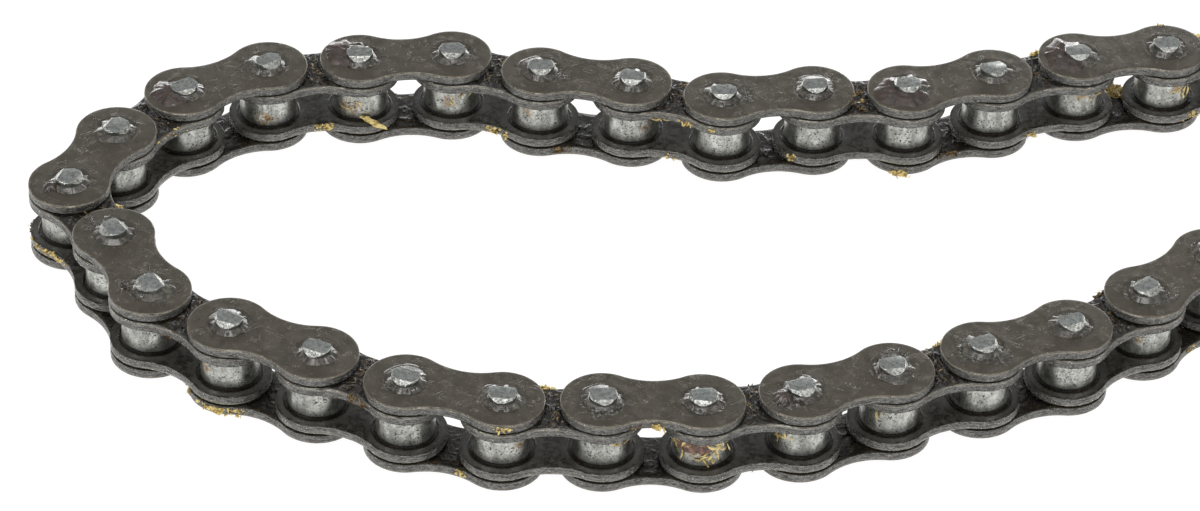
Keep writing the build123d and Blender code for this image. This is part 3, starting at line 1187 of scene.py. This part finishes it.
def make_splinter(index, start, end, width):
    """One long crust of dried grease that lies from start to end, in the link's own millimetres."""
    start, end = Vector(start), Vector(end)
    points, faces = ball(3)
    ends = 1 - 0.35 * np.abs(points[:, :1]) ** 3
    points = points * [(end - start).length / 2, width / 2, width / 4]
    points[:, 1:] *= ends
    points = points + 0.10 * field(points, 0.7, SPLINTER_SEED)[:, None] * [0.5, 1.0, 1.0]
    turn = np.array((end - start).to_track_quat("X", "Z").to_matrix())
    shape = points @ turn.T + np.array((start + end) / 2), faces
    grease_piece("splinter", [shape], index, DRIED_GREASE, sharp=30)


def make_smear(roller):
    """A smear of pinkish-brown grease on the side of one roller, its back sunk into the steel."""
    rows, columns = 22, 34
    up = np.linspace(-1, 1, rows)[:, None]
    turn = np.linspace(-1, 1, columns)
    angle = np.radians(-104 + 40 * turn)
    height = 0.45 + 0.85 * up * (1 - 0.25 * turn)
    flat = grid(3 * angle, height, 0.0).reshape(-1, 3)
    wander = field(flat, 1.2, SMEAR_SEED).reshape(rows, columns)
    crests = ridges(flat, 0.9, SMEAR_SEED + 1).reshape(rows, columns)
    fade = (1 - np.abs(up) ** 3) * (1 - np.abs(turn) ** 3)
    edge = np.clip(fade * 1.6 - 0.35 + 0.4 * wander, 0, 1)
    thick = 0.16 * edge * (0.7 + 0.6 * crests) - 0.02 * (edge < 0.02)
    radius = ROLLER_RADIUS + thick
    points = grid(radius * np.cos(angle), radius * np.sin(angle), height).reshape(-1, 3)
    buried = points * [0.985, 0.985, 1.0]
    count = rows * columns
    faces = []
    for a, b, c, d in grid_faces(rows, columns):
        faces += [(a, b, c, d), (a + count, d + count, c + count, b + count)]
    rim = grid_rim(rows, columns)
    faces += band(rim, [v + count for v in rim])
    points = np.concatenate([points, buried]) + AXES[roller]
    body = roller_name(roller)
    piece(body + "_smear", points, faces, body, "grease", PINK_GREASE, sharp=60)


# Golden curls stuck to rollers: the roller, the direction about its axis and how far they spread
# round it, in degrees, their height above its middle, how far they spread up and down, and how many
CURLS = [
    (22, -50, 8, 0.85, 0.40, 15), (22, -84, 12, -0.75, 0.35, 10), (22, -136, 7, 0.30, 0.45, 7),
    (23, -128, 9, 0.15, 0.35, 10), (24, -130, 12, 1.75, 0.12, 7),
    (21, -50, 8, 0.50, 0.40, 4), (9, -75, 14, 0.40, 0.40, 3), (10, -118, 14, -0.2, 0.50, 3),
    (2, -50, 10, 1.20, 0.30, 4), (1, -48, 10, 0.60, 0.50, 5),
]


def make_curls(number, roller, direction, around, height, up_and_down, count):
    """Curled strips laid on a roller's round, each pointing its own way."""
    rng = np.random.default_rng(CURLS_SEED + number)
    limit = ROLLER_HALF - 0.15
    curls = []
    for _ in range(count):
        strip, faces = shaving(rng, [0, 0, 0.08], rng.uniform(0.7, 2.0), rng.uniform(0.12, 0.36))
        angle = math.radians(rng.normal(direction, around)) + strip[:, 0] / ROLLER_RADIUS
        reach = ROLLER_RADIUS + np.clip(strip[:, 2], -0.05, 0.45)
        up = np.clip(rng.normal(height, up_and_down) + strip[:, 1], -limit, limit)
        curls.append((np.column_stack([reach * np.cos(angle), reach * np.sin(angle), up]), faces))
    points, faces = merged(curls)
    body = roller_name(roller)
    points = points + AXES[roller]
    piece(f"{body}_curls_{number}", points, faces, body, "grease", DRIED_GREASE, sharp=50)


# ---------------------------------------------------------------- the chain

outer_template = plate_template(PIN_RADIUS - 0.01)
inner_template = plate_template(BUSH_RADIUS - 0.01)
for link in range(LINK_COUNT):
    outer = link % 2 == 1
    for below in (False, True):
        template = outer_template if outer else inner_template
        make_plate(link, below, template, PLATE_SEED + 10 * link + below)
    for distance in (0.0, PITCH):
        if outer:
            make_pin(link, distance, PIN_SEED + 20 * link + int(distance))
        else:
            make_bush(link, distance)
    make_link_grease(link)
    if not outer:
        make_flecks(link)
for roller in range(ROLLER_COUNT):
    make_roller(roller, ROLLER_SEED + roller)
for number, pool in enumerate(POOLS, 1):
    make_pool(number, *pool)
for number, cluster in enumerate(CRUMBS, 1):
    make_crumbs(number, *cluster)
make_splinter(10, (0.5, 4.15, -1.5), (-3.1, 5.5, -3.3), 0.95)
make_smear(22)
for number, group in enumerate(CURLS, 1):
    make_curls(number, *group)


# ---------------------------------------------------------------- floor, light and camera


FLOOR_HALF = 3.0        # metres
FLOOR_DROP = 0.0002     # metres from the chain's underside down to the floor


def make_floor():
    corners = [(x * FLOOR_HALF, y * FLOOR_HALF, 0) for x, y in ((-1, -1), (1, -1), (1, 1), (-1, 1))]
    mesh = bpy.data.meshes.new("floor")
    mesh.from_pydata(corners, [], [(0, 1, 2, 3)])
    floor = bpy.data.objects.new("floor", mesh)
    bpy.context.scene.collection.objects.link(floor)
    floor.location.z = -FLOOR_DROP
    mesh.materials.append(floor_material())


# How bright the tent is, by how far up it is: 0 is the horizon and 1 is overhead
TENT = [(0.0, 1.0), (0.10, 1.0), (0.32, 0.42), (0.74, 0.42), (0.90, 1.0), (1.0, 1.0)]
BACK_GLOW = 6.0     # how much brighter the low part of the tent behind the chain is


def make_world():
    """Light from a white tent: bright at the horizon and overhead, dimmer between."""
    world = bpy.data.worlds.new("white_tent")
    world.use_nodes = True
    tree = world.node_tree

    def linked(kind, *sources, operation=None):
        made = tree.nodes.new(kind)
        if operation:
            made.operation = operation
        for socket, source in zip(made.inputs, sources):
            if isinstance(source, bpy.types.NodeSocket):
                tree.links.new(source, socket)
            else:
                socket.default_value = source
        return made

    def brightness(height, stops):
        ramp = linked("ShaderNodeValToRGB", height)
        elements = ramp.color_ramp.elements
        while len(elements) < len(stops):
            elements.new(0.5)
        for element, (place, level) in zip(elements, stops):
            element.position = place
            element.color = (level, level, level, 1.0)
        return ramp.outputs[0]

    direction = linked("ShaderNodeTexCoord").outputs["Generated"]
    split = linked("ShaderNodeSeparateXYZ", direction)
    around = brightness(split.outputs["Z"], TENT)
    low = brightness(split.outputs["Z"], [(0.0, 1.0), (0.26, 0.0)])
    behind = brightness(split.outputs["Y"], [(0.35, 0.0), (0.85, 1.0)])
    glow = linked("ShaderNodeMath", low, behind, operation="MULTIPLY").outputs[0]
    glow = linked("ShaderNodeMath", glow, BACK_GLOW, operation="MULTIPLY").outputs[0]
    total = linked("ShaderNodeMath", around, glow, operation="ADD").outputs[0]
    tree.links.new(total, tree.nodes["Background"].inputs["Strength"])
    tree.nodes["Background"].inputs["Color"].default_value = (1, 1, 1, 1)
    bpy.context.scene.world = world


def make_light(name, place, size, energy):
    """A round soft light that faces the middle of the chain."""
    data = bpy.data.lights.new(name, "AREA")
    data.shape = "DISK"
    data.size = size
    data.energy = energy
    light = bpy.data.objects.new(name, data)
    bpy.context.scene.collection.objects.link(light)
    light.location = place
    light.rotation_euler = (-Vector(place)).to_track_quat("-Z", "Y").to_euler()


CAMERA_ELEVATION = 38.2
CAMERA_ROLL = 1.93
CAMERA_DISTANCE = 0.6752
CAMERA_LENS = 155.2
AIM_FROM_CENTRE = Vector((-0.00955, -0.0135, 0.0))


def make_camera():
    """The camera looks along +Y and down at the tops of the pins, with a slight roll."""
    low, high = cad_box
    aim = Vector(((low.x + high.x) / 2, (low.y + high.y) / 2, high.z)) + AIM_FROM_CENTRE
    tilt = math.radians(CAMERA_ELEVATION)
    back = Vector((0, -math.cos(tilt), math.sin(tilt)))
    data = bpy.data.cameras.new("camera")
    data.lens = CAMERA_LENS
    data.sensor_width = 36.0
    data.clip_start = 0.05
    data.clip_end = 20.0
    camera = bpy.data.objects.new("camera", data)
    bpy.context.scene.collection.objects.link(camera)
    level = (-back).to_track_quat("-Z", "Y").to_matrix().to_4x4()
    roll = Matrix.Rotation(math.radians(CAMERA_ROLL), 4, "Z")
    camera.matrix_world = Matrix.Translation(aim + back * CAMERA_DISTANCE) @ level @ roll
    bpy.context.scene.camera = camera


make_floor()
make_world()
make_light("top_softbox", (-0.1, -0.15, 0.8), 0.45, 1.6)
make_light("left_lamp", (-0.7, -0.35, 0.55), 0.10, 0.8)
make_light("right_lamp", (0.6, -0.5, 0.6), 0.10, 0.8)
make_light("back_lamp", (0.2, 0.85, 0.17), 0.12, 0.35)
make_camera()
bpy.context.scene.view_settings.view_transform = "Standard"
